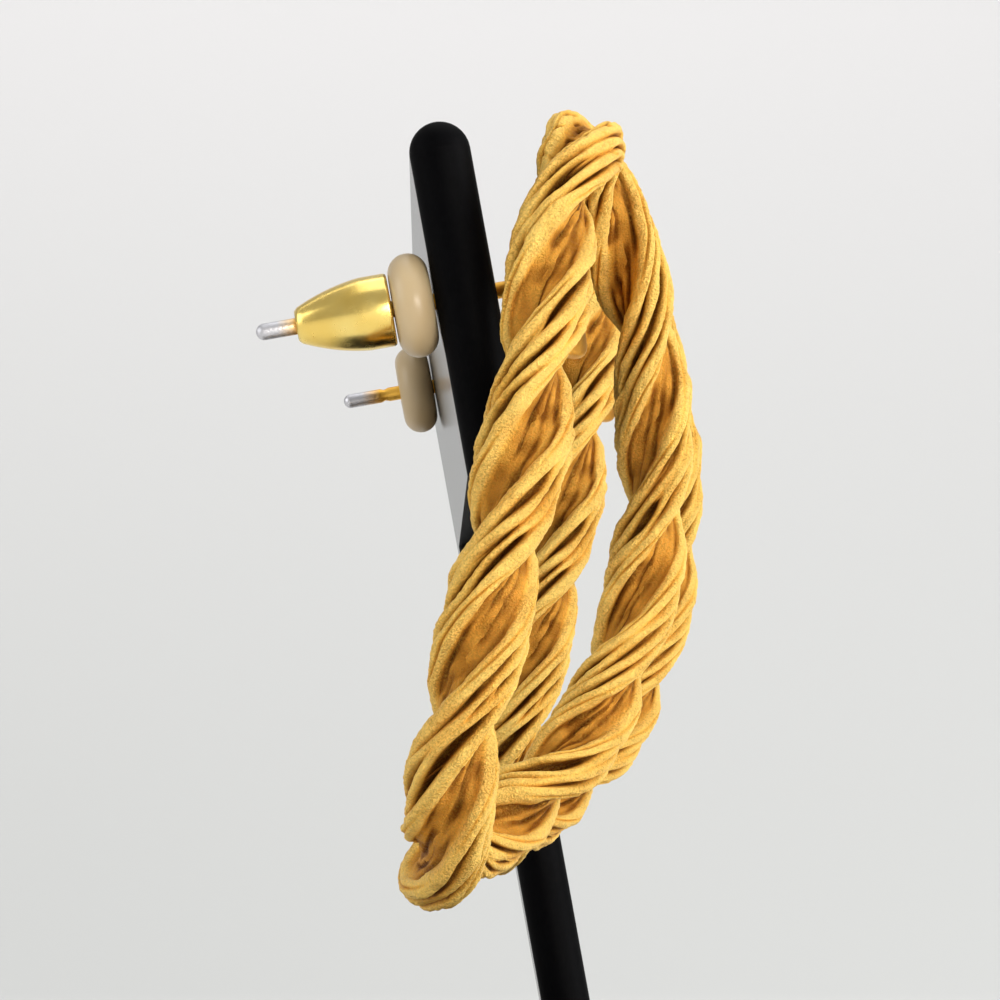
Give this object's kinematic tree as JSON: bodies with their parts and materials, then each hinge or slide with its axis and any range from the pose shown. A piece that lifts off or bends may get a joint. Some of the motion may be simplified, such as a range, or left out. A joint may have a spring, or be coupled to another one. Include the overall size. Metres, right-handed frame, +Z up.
{
  "type": "pair of dangle earrings on a display stand",
  "caption": "Twisted rope hoop earrings with bridge plates, ear posts, comfort discs and one bullet clutch, hanging by their posts on a plain black display stand whose bar reaches out to one side.",
  "frame": {"origin": "bottom centre of the whole, on the surface that the stand's foot rests on", "axes": "+X is the way the earrings face, +Y runs along the bar from the left earring to the right one as seen from the front, +Z is up"},
  "size_m": [0.034, 0.076, 0.0644],
  "materials": {
    "rope_gold": "satin gold plate over twisted brass wire, grained and pitted, darker in the grooves",
    "plate_gold": "satin gold plate, with a steel-grey tip on the post",
    "clutch_gold": "polished yellow gold plate",
    "disc_tan": "soft clear plastic with a tan tint",
    "stand_black": "matte black"
  },
  "bodies": {
    "root": {"strand_one_left": "rope_gold", "strand_two_left": "rope_gold", "post_plate_left": "plate_gold", "clutch_disc_left": "disc_tan", "clutch_bullet": "clutch_gold", "strand_one_right": "rope_gold", "strand_two_right": "rope_gold", "post_plate_right": "plate_gold", "clutch_disc_right": "disc_tan", "stand_board": "stand_black", "stand_foot": "stand_black"}
  },
  "joints": []
}
